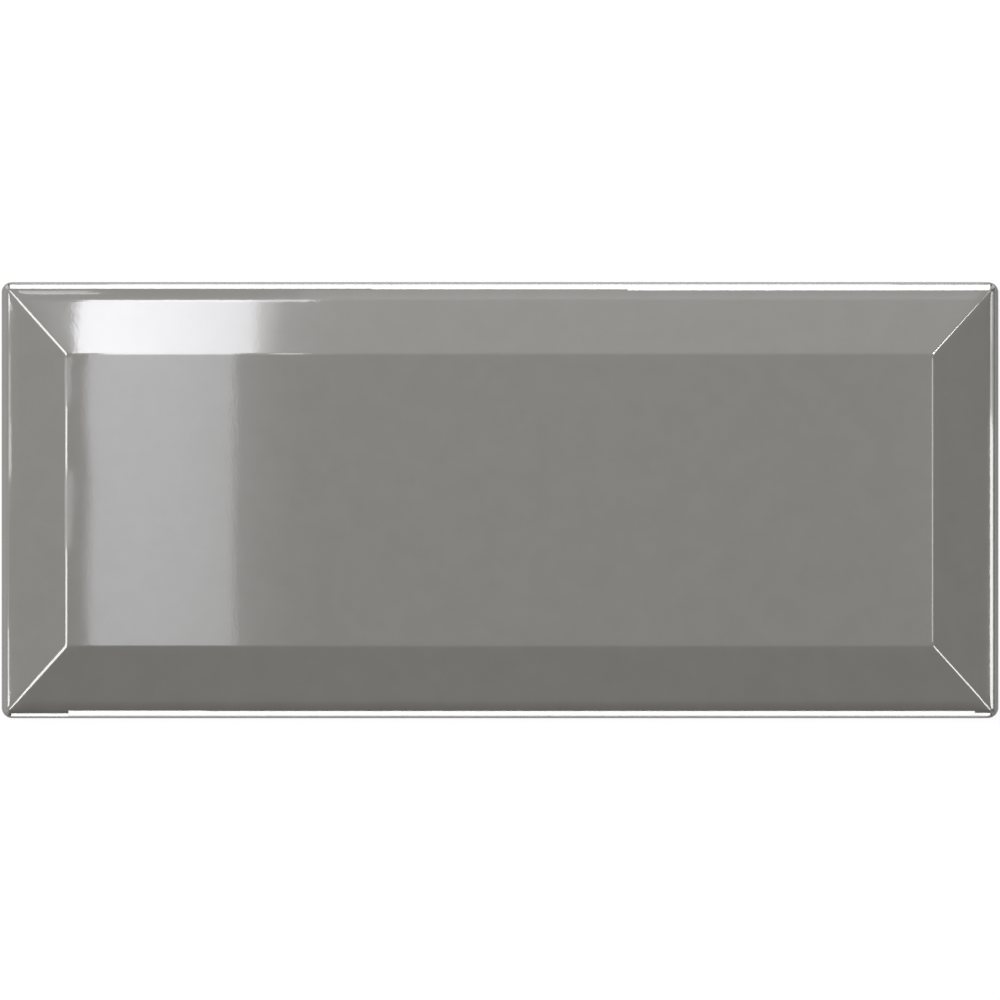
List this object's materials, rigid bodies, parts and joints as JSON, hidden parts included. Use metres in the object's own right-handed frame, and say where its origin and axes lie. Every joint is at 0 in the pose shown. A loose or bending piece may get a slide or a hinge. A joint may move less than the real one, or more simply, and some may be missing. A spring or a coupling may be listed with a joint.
{
  "type": "subway wall tile",
  "caption": "Oblong glazed wall tile with a flat raised field, mitred bevels on all sides, a rolled rim and a keyed back for adhesive.",
  "frame": {"origin": "centre of the bedding plane, which is the plane of the border and ribs on the tile's back", "axes": "+X along the length, +Y across the width, +Z out of the glazed face"},
  "size_m": [0.248, 0.1086, 0.008],
  "materials": {
    "glazed_body": "high gloss warm grey glaze on the face, rim and upper edge; unglazed off-white fired body below it and on the back"
  },
  "bodies": {
    "root": {"wall_tile": "glazed_body"}
  },
  "joints": []
}
